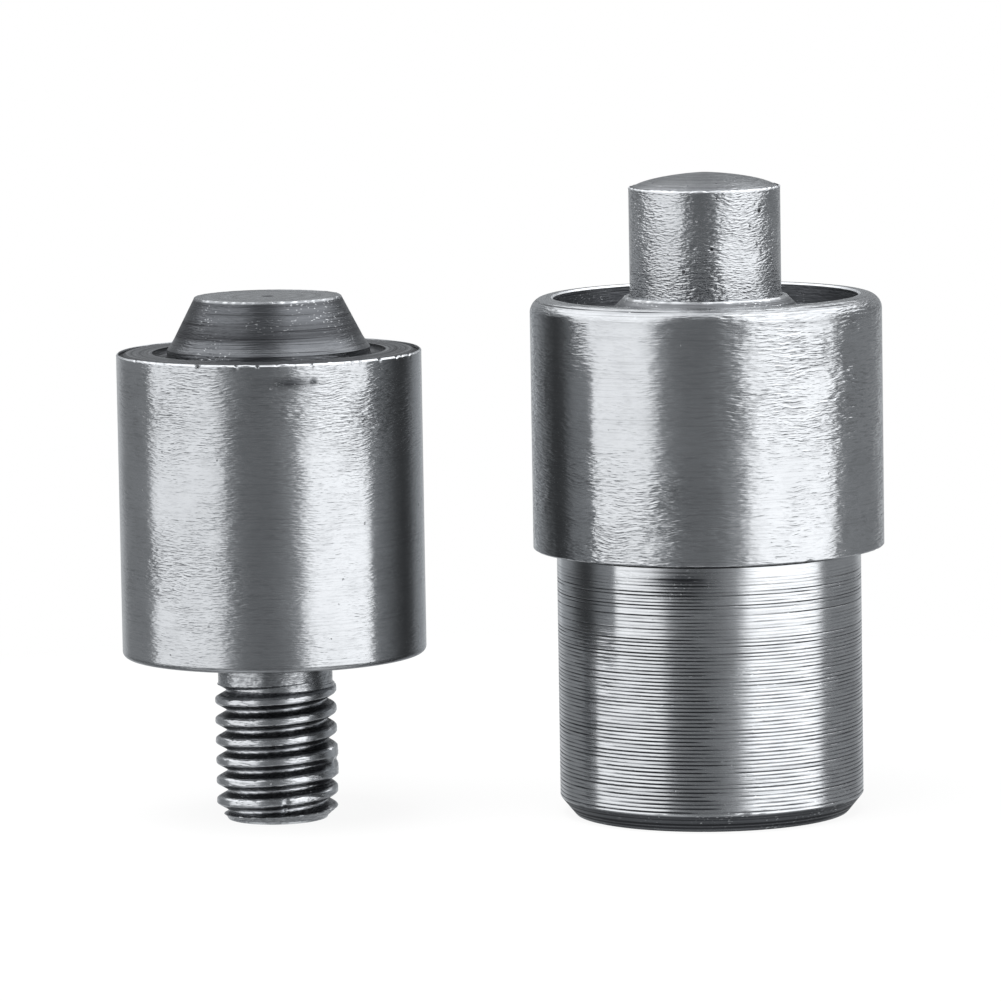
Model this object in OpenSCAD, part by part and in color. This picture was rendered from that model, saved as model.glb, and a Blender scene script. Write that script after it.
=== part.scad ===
// Setting dies for 8 mm eyelets, made for a hand lever press.
// The upper die stands on its threaded stud with its working end up.
// The lower die stands beside it on its shank, with its sprung centre pin up.
// All sizes are in millimetres, +Z is up, and the floor is at zero.

/* [Pair] */
// Gap between the two dies as they stand side by side
stand_gap = 5.35; // [1:0.05:20]

/* [Upper die body] */
// Diameter of the upper die's body
upper_d = 15; // [13:0.5:17]
// Height of the upper die's body, from shoulder to flat face
upper_h = 15; // [11:0.5:20]
// Rounding of the shoulder's edge
shoulder_round = 0.5; // [0.2:0.1:1]
// Small chamfer on the edge of the flat face
face_chamfer = 0.08; // [0.04:0.02:0.2]

/* [Upper die working end] */
// Diameter of the cone's flat tip
cone_tip_d = 7.2; // [6.4:0.1:7.8]
// Height of the cone's tip above the flat face
cone_h = 2.7; // [2:0.1:3.4]
// Slope of the cone's flank, in degrees from the axis
cone_angle = 27; // [22:1:31]
// Height above the flat face at which the flank starts to flare
flare_h = 0.8; // [0.6:0.05:1]
// Radius of the flare at the cone's foot
flare_r = 4; // [3:0.25:6]
// Height of the cone's foot above the flat face
foot_h = 0.15; // [0.05:0.05:0.3]
// Radius of the curl groove round the foot
curl_r = 0.38; // [0.3:0.01:0.5]
// Depth of the curl groove below the flat face
curl_depth = 0.4; // [0.3:0.02:0.5]
// Diameter of the centre drill's mark in the cone's tip
centre_mark_d = 0.5; // [0.3:0.1:0.8]

/* [Upper die stud] */
// Outer diameter of the stud's thread
stud_d = 6; // [5:0.5:8]
// Distance from one turn of the thread to the next
thread_pitch = 1; // [0.8:0.05:1.25]
// Depth of the thread, as a share of its pitch
thread_depth_share = 0.55; // [0.45:0.01:0.6]
// Width of the thread's crest, as a share of its pitch
thread_crest_share = 0.14; // [0.1:0.01:0.2]
// Length of the stud below the shoulder
stud_len = 8.2; // [7:0.2:12]
// Length of the plain neck between the shoulder and the thread
neck_len = 1.6; // [1:0.1:2.5]
// How much thinner the neck is than the thread, on the radius
neck_relief = 0.175; // [0.1:0.025:0.4]
// Fillet that the tool leaves between the neck and the shoulder
neck_fillet = 0.22; // [0.2:0.02:0.5]
// Chamfer at the stud's tip
tip_chamfer = 0.55; // [0.3:0.05:0.8]

/* [Lower die base] */
// Height of the lower die, from its foot to the sleeve's rim
lower_h = 25.6; // [24:0.2:28]
// Width of the chamfer round the foot
foot_chamfer_w = 0.75; // [0.3:0.05:1]
// Height of the chamfer round the foot
foot_chamfer_h = 0.9; // [0.3:0.05:1.4]
// Width of the sharp crest round the pin
crest_w = 0.14; // [0.08:0.01:0.3]
// Small bevel between the crest and the pin's bore
crest_bevel = 0.05; // [0.02:0.01:0.1]
// Depth of the trough that holds the eyelet's flange
trough_depth = 1.5; // [1:0.1:1.8]
// Slope of the crest's outer side, in degrees from level
trough_slope = 45; // [40:1:55]
// Slope of the trough where it meets the sleeve, in degrees from level
trough_wall_slope = 41; // [30:1:50]
// Thickness of steel between the trough and the spring's chamber
chamber_roof = 5.1; // [4:0.1:6]
// Clearance between the spring and the wall of its chamber
chamber_room = 0.65; // [0.5:0.05:1]
// Wall round the plug's thread, which brings the shank to the 15 mm that presses hold
shank_wall = 1.5; // [1.2:0.05:3]
// Depth of the relief groove where the shank ends and the sleeve's seat begins
relief_depth = 0.2; // [0.16:0.02:0.4]
// Height of the relief groove that shows below the sleeve
relief_below = 0.2; // [0.1:0.05:0.5]
// Height of the relief groove that the sleeve covers
relief_above = 0.45; // [0.45:0.05:1]

/* [Sleeve] */
// Wall of the sleeve that is pressed over the base
sleeve_wall = 1.15; // [1:0.05:2]
// Height of the sleeve
sleeve_h = 12.4; // [8:0.2:16]
// Rounding of the rim's outer edge
rim_round = 0.9; // [0.5:0.05:0.95]
// Chamfer at the rim's inner edge and at the lower edge
rim_chamfer = 0.08; // [0.04:0.02:0.16]

/* [Centre pin] */
// Diameter of the centre pin
pin_d = 7.45; // [7:0.05:7.8]
// Height of the pin's edge above the sleeve's rim
pin_rise = 5.35; // [4:0.05:6]
// Height of the pin's crowned top above its edge
pin_crown = 0.69; // [0.3:0.01:1]
// How far the pin can be pushed down
pin_travel = 7.5; // [6:0.25:8]
// Room left under the pin when it is pushed right down
pin_tail_room = 0.5; // [0.3:0.1:1]
// Chamfer at the pin's lower end
pin_tail_chamfer = 0.4; // [0.2:0.1:0.8]
// Running clearance of the pin in its bore, on the radius
pin_fit = 0.05; // [0.02:0.01:0.1]

/* [Snap ring and washer] */
// Thickness of the snap ring's wire
ring_wire_d = 1; // [0.8:0.1:1.2]
// Depth of the ring's groove in the pin
ring_groove = 0.45; // [0.3:0.05:0.5]
// Opening in the snap ring, in degrees
ring_gap_angle = 30; // [15:5:60]
// Thickness of the washer between the ring and the spring
washer_t = 0.8; // [0.6:0.1:1.2]
// Clearance between the washer and the pin, on the radius
washer_fit = 0.05; // [0.03:0.01:0.1]
// Clearance between the washer and the chamber's wall
washer_run = 0.35; // [0.3:0.05:0.5]

/* [Spring] */
// Thickness of the spring's wire
spring_wire_d = 0.8; // [0.7:0.05:0.9]
// Number of turns in the spring
spring_turns = 6; // [5:1:7]
// Clearance between the spring and the pin, on the radius
spring_run = 0.325; // [0.3:0.025:0.4]
// Space between the wires of the closer turn at each end
spring_end_space = 0.46; // [0.45:0.01:0.6]

/* [Screw plug] */
// Thickness of the plug that holds the spring in
plug_t = 3; // [2:0.25:4]
// How far the plug sits above the foot
plug_inset = 0.5; // [0.2:0.1:1]
// Width of the seat that the plug turns up against
plug_seat_w = 0.5; // [0.3:0.05:0.6]
// Width of the screwdriver slot
slot_w = 1.6; // [1:0.1:2.5]
// Depth of the screwdriver slot
slot_depth = 1.2; // [0.8:0.1:1.6]
// Chamfer round the plug's two ends
plug_chamfer = 0.3; // [0.2:0.05:0.5]

/* [Hidden] */

$fn = 96;
// Steps in a rounded stretch of an outline
arc_steps = 8;
// Room between the snap ring and the roof of the chamber
roof_gap = 0.1;
// Gap left where one piece only rests on the next
seat_gap = 0.02;
// How far a cut runs past the face that it opens
overrun = 0.08;

// The lower die's radii, from the pin out through the spring and the walls
pin_r = pin_d / 2;
spring_wire_r = spring_wire_d / 2;
spring_r = pin_r + spring_run + spring_wire_r;
chamber_r = spring_r + spring_wire_r + chamber_room;
plug_r = chamber_r + plug_seat_w;
shank_r = plug_r + shank_wall;
sleeve_r = shank_r + sleeve_wall;

// The pair is centred on the origin, so each axis follows from the outer sizes
upper_r = upper_d / 2;
stud_r = stud_d / 2;
pair_length = 2 * upper_r + stand_gap + 2 * sleeve_r;
upper_x = upper_r - pair_length / 2;
lower_x = pair_length / 2 - sleeve_r;

// Heights on the upper die
shoulder_z = stud_len;
face_z = shoulder_z + upper_h;
thread_top_z = shoulder_z - neck_len;

// The flank runs straight to the flare, and the flare bends outwards to the foot
cone_tip_r = cone_tip_d / 2;
flare_start_r = cone_tip_r + (cone_h - flare_h) * tan(cone_angle);
flare_end_angle = asin(sin(cone_angle) + (flare_h - foot_h) / flare_r);
cone_foot_r = flare_start_r + flare_r * (cos(cone_angle) - cos(flare_end_angle));
curl_centre_z = face_z - curl_depth + curl_r;
curl_edge_angle = asin((face_z - curl_centre_z) / curl_r);
curl_foot_angle = asin(max(0, (curl_centre_z - face_z - foot_h) / curl_r));
curl_centre_r = cone_foot_r + curl_r * cos(curl_foot_angle);

// The thread's groove, which widens at 30 degrees from its floor
thread_flank_angle = 30;
thread_depth = thread_pitch * thread_depth_share;
groove_mouth_w = thread_pitch * (1 - thread_crest_share);
groove_floor_w = groove_mouth_w - 2 * thread_depth * tan(thread_flank_angle);
groove_floor_r = stud_r - thread_depth;
groove_steps = 24;
// Where a crest crosses the +X side, as a share of one pitch above the tip
crest_phase_share = 0.42;
// How much of a turn the groove takes to run out into the neck
runout_share = 0.55;

// Heights on the lower die
sleeve_z = lower_h - sleeve_h;
chamber_top_z = lower_h - trough_depth - chamber_roof;
plug_top_z = plug_inset + plug_t;
ring_z = chamber_top_z - roof_gap - ring_wire_d / 2;
washer_top_z = ring_z - ring_wire_d / 2 - seat_gap;
washer_z = washer_top_z - washer_t;
pin_edge_z = lower_h + pin_rise;
pin_tail_z = plug_top_z + pin_travel + pin_tail_room;

// The crest, and the trough between it and the sleeve
bore_r = pin_r + pin_fit;
crest_in_r = bore_r + crest_bevel;
crest_out_r = crest_in_r + crest_w;
trough_w = shank_r - crest_out_r;
trough_r = (trough_w - trough_depth / tan(trough_slope))
         / (sin(trough_slope) + sin(trough_wall_slope) - tan(trough_slope / 2));
trough_centre_r = shank_r - trough_r * sin(trough_wall_slope);
trough_centre_z = lower_h - trough_depth + trough_r;

// The rounding of the rim, which the sleeve's wall limits
rim_arc_r = min(rim_round, sleeve_wall - 2 * rim_chamfer);

// How far the spring's wire climbs, in all and in its end turns and middle turns
spring_rise = washer_z - plug_top_z - spring_wire_d - 2 * seat_gap;
spring_end_rise = spring_wire_d + spring_end_space;
spring_mid_rise = (spring_rise - 2 * spring_end_rise) / (spring_turns - 2);
spring_steps = 16;
spring_sides = 6;

// Points along an arc in an outline, from one angle to another
function arc(centre_r, centre_z, radius, from, to) = [
    for (i = [0 : arc_steps])
    let (a = from + (to - from) * i / arc_steps)
    [centre_r + radius * cos(a), centre_z + radius * sin(a)]
];

// A tube through a list of rings, each of as many points, closed at both ends
module swept_tube(rings) {
    count = len(rings);
    sides = len(rings[0]);
    points = [for (ring = rings) each ring];
    walls = [
        for (i = [0 : count - 2], j = [0 : sides - 1])
        let (a = i * sides + j, b = i * sides + (j + 1) % sides)
        each [[a, b, b + sides], [a, b + sides, a + sides]]
    ];
    start_cap = [for (j = [sides - 1 : -1 : 0]) j];
    end_cap = [for (j = [0 : sides - 1]) (count - 1) * sides + j];
    polyhedron(points, concat([start_cap], walls, [end_cap]));
}

// One ring of the thread's groove at an angle round the stud.
// Past the end of the full thread its floor climbs until it leaves the steel.
function groove_ring(angle, z, fade) =
    let (mouth_r = stud_r + overrun,
         floor_r = groove_floor_r + fade * (thread_depth + overrun / 2),
         slope = tan(thread_flank_angle),
         floor_half = groove_floor_w / 2 * (1 - fade / 2),
         mouth_half = floor_half + (mouth_r - floor_r) * slope)
    [for (p = [[floor_r, -floor_half], [mouth_r, -mouth_half],
               [mouth_r, mouth_half], [floor_r, floor_half]])
     [p[0] * cos(angle), p[0] * sin(angle), z + p[1]]];

// The groove of the right-hand thread, from below the tip up to its run-out
module thread_groove() {
    valley_phase = crest_phase_share + 1 / 2;
    first_turn = -1 - ceil(valley_phase);
    last_turn = floor((thread_top_z + groove_mouth_w / 2) / thread_pitch) - valley_phase;
    steps = ceil((last_turn - first_turn) * groove_steps);
    swept_tube([
        for (i = [0 : steps])
        let (turn = first_turn + i / groove_steps,
             fade = max(0, 1 - (steps - i) / (runout_share * groove_steps)))
        groove_ring(turn * 360, (turn + valley_phase) * thread_pitch, fade)
    ]);
}

// Upper die: one turned piece with the cone, the curl groove, the body and the stud
module upper_die() {
    outline = concat(
        [[0, 0],
         [stud_r - tip_chamfer, 0],
         [stud_r, tip_chamfer],
         [stud_r, thread_top_z],
         [stud_r - neck_relief, thread_top_z + neck_relief]],
        arc(stud_r - neck_relief + neck_fillet, shoulder_z - neck_fillet, neck_fillet, 180, 90),
        arc(upper_r - shoulder_round, shoulder_z + shoulder_round, shoulder_round, -90, 0),
        [[upper_r, face_z - face_chamfer],
         [upper_r - face_chamfer, face_z]],
        arc(curl_centre_r, curl_centre_z, curl_r, curl_edge_angle, curl_foot_angle - 180),
        [for (i = [arc_steps : -1 : 0])
         let (a = cone_angle + (flare_end_angle - cone_angle) * i / arc_steps)
         [flare_start_r + flare_r * (cos(cone_angle) - cos(a)),
          face_z + flare_h - flare_r * (sin(a) - sin(cone_angle))]],
        [[cone_tip_r, face_z + cone_h],
         [centre_mark_d / 2, face_z + cone_h],
         [0, face_z + cone_h - centre_mark_d / 2]]
    );
    color([0.58, 0.59, 0.60])
    translate([upper_x, 0, 0])
    difference() {
        rotate_extrude() polygon(outline);
        thread_groove();
    }
}

// Base of the lower die: shank, trough, crest, pin bore, spring chamber, plug thread
module anvil_base() {
    outline = concat(
        [[plug_r, 0],
         [shank_r - foot_chamfer_w, 0],
         [shank_r, foot_chamfer_h],
         [shank_r, sleeve_z - relief_below],
         [shank_r - relief_depth, sleeve_z - relief_below],
         [shank_r - relief_depth, sleeve_z + relief_above],
         [shank_r, sleeve_z + relief_above]],
        arc(trough_centre_r, trough_centre_z, trough_r,
            trough_wall_slope - 90, -90 - trough_slope),
        [[crest_out_r, lower_h],
         [crest_in_r, lower_h],
         [bore_r, lower_h - crest_bevel],
         [bore_r, chamber_top_z],
         [chamber_r, chamber_top_z],
         [chamber_r, plug_top_z],
         [plug_r, plug_top_z]]
    );
    color([0.50, 0.51, 0.52])
    translate([lower_x, 0, 0])
    rotate_extrude() polygon(outline);
}

// Sleeve pressed over the base, whose rim stands level with the crest
module outer_sleeve() {
    outline = concat(
        [[shank_r, sleeve_z],
         [sleeve_r - rim_chamfer, sleeve_z],
         [sleeve_r, sleeve_z + rim_chamfer]],
        arc(sleeve_r - rim_arc_r, lower_h - rim_arc_r, rim_arc_r, 0, 90),
        [[shank_r + rim_chamfer, lower_h],
         [shank_r, lower_h - rim_chamfer]]
    );
    color([0.66, 0.67, 0.68])
    translate([lower_x, 0, 0])
    rotate_extrude() polygon(outline);
}

// Centre pin: plain bar with a crowned top and a groove for the snap ring
module centre_pin() {
    crown_r = (pin_r * pin_r + pin_crown * pin_crown) / (2 * pin_crown);
    crown_angle = asin(pin_r / crown_r);
    outline = concat(
        [[0, pin_tail_z],
         [pin_r - pin_tail_chamfer, pin_tail_z],
         [pin_r, pin_tail_z + pin_tail_chamfer]],
        arc(0, pin_edge_z + pin_crown - crown_r, crown_r, 90 - crown_angle, 90)
    );
    color([0.62, 0.63, 0.64])
    translate([lower_x, 0, 0])
    difference() {
        rotate_extrude() polygon(outline);
        translate([0, 0, ring_z])
        rotate_extrude() translate([pin_r - ring_groove + ring_wire_d / 2, 0])
        circle(d = ring_wire_d + 2 * seat_gap);
    }
}

// Snap ring: an open ring of round wire that stops the pin at the chamber's roof
module pin_snap_ring() {
    color([0.35, 0.36, 0.38])
    translate([lower_x, 0, ring_z])
    rotate([0, 0, ring_gap_angle / 2])
    rotate_extrude(angle = 360 - ring_gap_angle)
    translate([pin_r - ring_groove + ring_wire_d / 2, 0])
    circle(d = ring_wire_d);
}

// Washer that carries the spring's push to the snap ring
module spring_washer() {
    color([0.45, 0.46, 0.48])
    translate([lower_x, 0, washer_z])
    difference() {
        cylinder(r = chamber_r - washer_run, h = washer_t);
        translate([0, 0, -overrun])
        cylinder(r = pin_r + washer_fit, h = washer_t + 2 * overrun);
    }
}

// Height of the spring's wire above its first point, after some turns
function spring_height(turn) =
    let (last = spring_turns - 1)
    turn < 1 ? turn * spring_end_rise
    : turn < last ? spring_end_rise + (turn - 1) * spring_mid_rise
    : spring_end_rise + (last - 1) * spring_mid_rise + (turn - last) * spring_end_rise;

spring_path = [
    for (i = [0 : spring_turns * spring_steps])
    let (turn = i / spring_steps, a = turn * 360)
    [spring_r * cos(a), spring_r * sin(a),
     plug_top_z + seat_gap + spring_wire_r + spring_height(turn)]
];

// Least space between two turns of the spring, worked out on its points
spring_least_gap = min([
    for (i = [0 : len(spring_path) - 1], j = [i + spring_steps / 2 : len(spring_path) - 1])
    norm(spring_path[j] - spring_path[i])
]) - spring_wire_d;
echo(spring_least_gap = spring_least_gap);

// Compression spring that pushes the pin up, as it lies when the pin is up
module pin_spring() {
    color([0.40, 0.41, 0.43])
    translate([lower_x, 0, 0])
    swept_tube([
        for (i = [0 : len(spring_path) - 1])
        let (p = spring_path[i], a = i * 360 / spring_steps)
        [for (j = [0 : spring_sides - 1])
         let (side = 90 + j * 360 / spring_sides,
              r = spring_r + spring_wire_r * cos(side))
         [r * cos(a), r * sin(a), p[2] + spring_wire_r * sin(side)]]
    ]);
}

// Screw plug that closes the chamber and carries the spring
module screw_plug() {
    outline = [[0, 0],
               [plug_r - plug_chamfer, 0],
               [plug_r, plug_chamfer],
               [plug_r, plug_t - plug_chamfer],
               [plug_r - plug_chamfer, plug_t],
               [0, plug_t]];
    color([0.38, 0.38, 0.40])
    translate([lower_x, 0, plug_inset])
    difference() {
        rotate_extrude() polygon(outline);
        translate([-plug_r - overrun, -slot_w / 2, -overrun])
        cube([2 * (plug_r + overrun), slot_w, slot_depth + overrun]);
    }
}

upper_die();
anvil_base();
outer_sleeve();
centre_pin();
pin_snap_ring();
spring_washer();
pin_spring();
screw_plug();
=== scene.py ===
"""Looks of a pair of dies that set 8 mm eyelets in a hand lever press.

The upper die stands on its threaded stud with its cone up. The lower die stands beside it with its sprung
centre pin up. The sections follow the two dies as they are put together. Sizes are in millimetres, and
each mesh is scaled to metres as it is made.
"""

import math

import bpy
import numpy as np
from mathutils import Matrix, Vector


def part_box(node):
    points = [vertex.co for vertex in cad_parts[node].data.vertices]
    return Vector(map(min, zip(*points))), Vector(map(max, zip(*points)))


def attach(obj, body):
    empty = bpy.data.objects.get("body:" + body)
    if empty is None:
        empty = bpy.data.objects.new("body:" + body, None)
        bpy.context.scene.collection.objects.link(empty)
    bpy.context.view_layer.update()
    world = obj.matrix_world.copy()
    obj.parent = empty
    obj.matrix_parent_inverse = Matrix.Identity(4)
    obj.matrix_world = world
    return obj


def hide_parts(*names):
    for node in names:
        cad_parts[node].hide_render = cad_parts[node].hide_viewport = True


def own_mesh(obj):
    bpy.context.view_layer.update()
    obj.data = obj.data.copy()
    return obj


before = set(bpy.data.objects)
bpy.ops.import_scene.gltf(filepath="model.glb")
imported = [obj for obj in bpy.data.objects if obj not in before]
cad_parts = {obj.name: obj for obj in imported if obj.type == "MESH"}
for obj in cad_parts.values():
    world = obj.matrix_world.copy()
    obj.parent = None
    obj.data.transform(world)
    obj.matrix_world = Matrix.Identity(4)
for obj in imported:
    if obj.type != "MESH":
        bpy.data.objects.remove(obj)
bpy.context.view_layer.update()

# Upper die.
# One piece of bright steel bar, turned on a lathe: an M6 stud with a cut thread, a plain neck, a 15 mm
# body, and a cone that flares into the groove which curls the eyelet's barrel.
MM = 0.001
SHARP_EDGE = 30


def node_sizes(node):
    """The x of a turned node's axis, its radius, and its lowest and highest z, in millimetres."""
    low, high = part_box(node)
    return (low.x + high.x) / 2 / MM, (high.x - low.x) / 2 / MM, low.z / MM, high.z / MM


def line(start, end, steps):
    """Points from start towards end in even steps, with the end left out."""
    share = np.arange(steps)[:, None] / steps
    return np.array(start) * (1 - share) + np.array(end) * share


def bow(centre, radius, first, last, steps):
    """Points round an arc from one angle towards another, in degrees: the centre plus the radius
    times the angle's cosine and sine. The last point is left out."""
    angle = np.radians(first + (last - first) * np.arange(steps)[:, None] / steps)
    return np.array(centre) + radius * np.hstack([np.cos(angle), np.sin(angle)])


def circle(columns):
    """The angles of a ring's points, from +X towards +Y."""
    return 2 * np.pi * np.arange(columns) / columns


def band(stretches, columns):
    """One band of rings from stretches of an outline. Each stretch is its points (radius, height) and how
    dull the steel is there. Gives the radius, the height and the dullness at each ring and angle."""
    outline = np.concatenate([points for points, dull in stretches])
    dullness = np.concatenate([np.full(len(points), dull) for points, dull in stretches])
    grid = np.ones(columns)
    return outline[:, :1] * grid, outline[:, 1:] * grid, dullness[:, None] * grid


def strip(near, far):
    """Faces between two rings of points. Rings of one length give quads, a ring of twice the points is
    met by three triangles a step, and a single point gives a fan."""
    if len(near) > len(far):
        return strip(far, near)[:, ::-1]
    if len(near) == 1:
        return np.stack([np.repeat(near, len(far)), np.roll(far, -1), far], 1)
    after = np.roll(near, -1)
    if len(near) == len(far):
        return np.stack([near, after, np.roll(far, -1), far], 1)
    even, odd = far[0::2], far[1::2]
    return np.concatenate([np.stack([near, odd, even], 1),
                           np.stack([near, after, odd], 1),
                           np.stack([after, np.roll(even, -1), odd], 1)])


def join(rings):
    """The faces between all neighbouring rings."""
    return [face for near, far in zip(rings, rings[1:]) for face in strip(near, far).tolist()]


def build(name, points, faces, values, smooth=True):
    """A new object from points and faces. Each of its points keeps a value under each label."""
    mesh = bpy.data.meshes.new(name)
    mesh.from_pydata((points * MM).tolist(), [], faces)
    for label, value in values.items():
        mesh.attributes.new(label, "FLOAT", "POINT").data.foreach_set("value", value.astype(np.float32))
    mesh.polygons.foreach_set("use_smooth", np.full(len(mesh.polygons), smooth))
    piece = bpy.data.objects.new(name, mesh)
    bpy.context.scene.collection.objects.link(piece)
    return piece


def skin(name, bands, axis_x, torn, poles=None):
    """A closed turned mesh. Point i of n in a ring stands at the angle 360 i / n round the axis, at the
    band's radius and height there. Poles are the heights of the two points on the axis that close it,
    and without them the last ring joins the first. The points keep three values for the material: how
    dull the steel is, which above full dullness also paints oil and painted shade and below zero burrs and
    painted highlights, how torn it is at that angle and height, and the length travelled along the outline."""
    points, rings, middle, dull_values, torn_values = [], [], [], [], []
    if poles:
        bands = [(np.zeros((1, 1)), np.full((1, 1), poles[0]), np.zeros((1, 1))), *bands,
                 (np.zeros((1, 1)), np.full((1, 1), poles[1]), np.zeros((1, 1)))]
    for radius, height, dullness in bands:
        angle = circle(radius.shape[1])
        first = sum(map(len, points))
        rings += list(first + np.arange(radius.size).reshape(radius.shape))
        points.append(np.stack([axis_x + radius * np.cos(angle), radius * np.sin(angle), height],
                               -1).reshape(-1, 3))
        middle.append(np.stack([radius.mean(1), height.mean(1)], 1))
        dull_values.append(dullness.ravel())
        torn_values.append((torn(angle, height) * np.ones(height.shape)).ravel())
    middle = np.concatenate(middle)
    travelled = np.concatenate([[0], np.linalg.norm(np.diff(middle, axis=0), axis=1).cumsum()])
    piece = build(name, np.concatenate(points), join(rings if poles else [*rings, rings[0]]), {
        "along": np.repeat(travelled, [len(ring) for ring in rings]),
        "dull": np.concatenate(dull_values),
        "torn": np.concatenate(torn_values)})
    piece.data.set_sharp_from_angle(angle=math.radians(SHARP_EDGE))
    piece.data.validate()
    piece.data.update()
    return piece


def ripple(angle, fewest, most, seed):
    """An uneven wave round a piece, mostly from -1 to 1: a sum of cosines, one for each number of waves
    a turn from fewest to most, each with a strength and a start drawn by chance."""
    chance = np.random.default_rng(seed)
    waves = np.arange(fewest, most + 1)
    strength = chance.uniform(0.4, 1, len(waves))
    start = chance.uniform(0, 2 * np.pi, len(waves))
    total = (strength * np.cos(np.asarray(angle)[..., None] * waves + start)).sum(-1)
    return total / np.sqrt(2 * (strength ** 2).sum())


def bell(distance, width):
    """A rounded bump, 1 in its middle: e to the minus square of the distance over the width."""
    return np.exp(-(distance / width) ** 2)


def turn_from(angle, place):
    """How far an angle lies from a place round the piece, in degrees from -180 to 180."""
    return (np.degrees(angle) - place + 180) % 360 - 180


def blunt_least(a, b, round_off):
    """The lesser of a and b, with the corner where they meet rounded off over that width."""
    near = np.clip(round_off - abs(a - b), 0, None) / round_off
    return np.minimum(a, b) - near ** 2 * round_off / 4


UPPER_X, UPPER_R, _, CONE_TOP = node_sizes("upper_die")
STUD_R = 3.0
STUD_END_R = 2.4
STUD_CHAMFER_Z = 0.55
PITCH = 1.0
THREAD_DEPTH = 0.55
THREAD_SLOPE = 30
ROOT_HALF = 0.035
ROOT_ROUND = 0.04
CREST_ROUND = 0.12
CREST_PHASE = 0.42
THREAD_TOP = 6.6
THREAD_END = THREAD_TOP + 0.43
# How many turns the tool takes to leave the steel, and where the neck is plain again
RUNOUT = 0.55
RUNOUT_TOP = 7.0
NECK_R = 2.825
NECK_START = THREAD_TOP + STUD_R - NECK_R
NECK_FILLET = 0.22
SHOULDER_Z = 8.2
LOWER_ROUND = 0.3
FACE_Z = 23.2
EDGE_Z = FACE_Z - 0.5
EDGE_BEVEL = 0.08
CURL_CENTRE = (5.366, FACE_Z - 0.02)
CURL_R = 0.38
CURL_MOUTH_R = 5.74
# The cone's flank leans 27 degrees from the axis and flares out over its last stretch to 38.1 degrees
FLANK = 27
FLARE_END = 38.1
FLARE_R = 4.0
FLARE_START = (4.568, FACE_Z + 0.8)
CONE_TIP_R = 3.6
FLANK_TOP = (CONE_TIP_R + 0.02, CONE_TOP - 0.05)
FLANK_MIDDLE = tuple(np.add(FLARE_START, FLANK_TOP) / 2)
TIP_FACE_R = CONE_TIP_R - 0.1
TIP_FACE_Z = CONE_TOP - 0.02
CENTRE_MARK_R = 0.27
CENTRE_MARK_DEPTH = 0.2
TIP_RING_STEP = 0.85
STUD_COLUMNS = 160
BODY_COLUMNS = 320
EDGE_COLUMNS = 2 * BODY_COLUMNS
THREAD_ROWS = 178
FACE_ROWS = 18
TIP_ROWS = 26


def thread_radius(angle, height):
    """The stud's radius where the tool has cut. The right-hand groove's floor lies half a pitch above
    each crest, its sides slope away by 30 degrees each, and its corners are a little round. Near its end
    the groove climbs out of the steel."""
    turns = angle / (2 * np.pi)
    valley = np.round(height / PITCH - CREST_PHASE - 0.5 - turns)
    off_floor = abs(height - (valley + turns + CREST_PHASE + 0.5) * PITCH)
    last_turn = np.floor(THREAD_END / PITCH) - CREST_PHASE - 0.5
    lift = np.clip(1 - (last_turn - valley - turns) / RUNOUT, 0, 1)
    floor = STUD_R - THREAD_DEPTH * (1 - lift) + 0.2 * (valley + turns > last_turn)
    side = STUD_R - THREAD_DEPTH + (off_floor - ROOT_HALF) / math.tan(math.radians(THREAD_SLOPE))
    cut = -blunt_least(-floor, -side, ROOT_ROUND)
    return blunt_least(cut, np.full_like(cut, STUD_R), CREST_ROUND)


stud = band([
    (line((0.3, 0), (STUD_END_R, 0), 6), 0.5),
    (line((STUD_END_R, 0), (STUD_END_R + 0.06, 0.02), 2), 0.3),
    # The end's outer edge carries a thin painted highlight
    (line((STUD_END_R + 0.06, 0.02), (STUD_END_R + 0.12, 0.14), 3), -0.4),
    (line((STUD_END_R + 0.12, 0.14), (STUD_R, STUD_CHAMFER_Z), 15), 0.4),
    (line((STUD_R, STUD_CHAMFER_Z), (STUD_R, THREAD_TOP), THREAD_ROWS), 0.15),
    (line((STUD_R, THREAD_TOP), (NECK_R, NECK_START), 7), 0.15),
    (line((NECK_R, NECK_START), (NECK_R, RUNOUT_TOP), 7), 0.2),
    (line((NECK_R, RUNOUT_TOP), (NECK_R, SHOULDER_Z - NECK_FILLET), 8), 0.3),
    (bow((NECK_R + NECK_FILLET, SHOULDER_Z - NECK_FILLET), NECK_FILLET, 180, 90, 6), 0.4),
], STUD_COLUMNS)
stud_angle = circle(STUD_COLUMNS)
stud_radius, stud_height, stud_dull = stud
cut = thread_radius(stud_angle, stud_height)
# Where the stud was once knocked, between its third and fourth turns, the crests are pressed together
bruise = bell(turn_from(stud_angle, -12), 24) * np.clip(1.6 * bell(stud_height - 2.75, 0.75), 0, 1)
cut = cut + (STUD_R + 0.06 - cut) * bruise * (0.8 + 0.2 * ripple(stud_angle, 9, 30, 41))
nick = bell(turn_from(stud_angle, -80), 1.6) * bell(stud_height - 0.75, 0.45)
worn_crest = 0.012 * ripple(stud_angle + 2.1 * stud_height, 5, 40, 42) * (cut > STUD_R - 0.06)
in_thread = (stud_height > 0.02) & (stud_height < RUNOUT_TOP + 0.3)
stud_radius[:] = np.where(in_thread, np.minimum(stud_radius, cut), stud_radius)
stud_radius += in_thread * (0.05 * bruise + np.clip(worn_crest, -0.03, 0.01) - 0.16 * nick)
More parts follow.
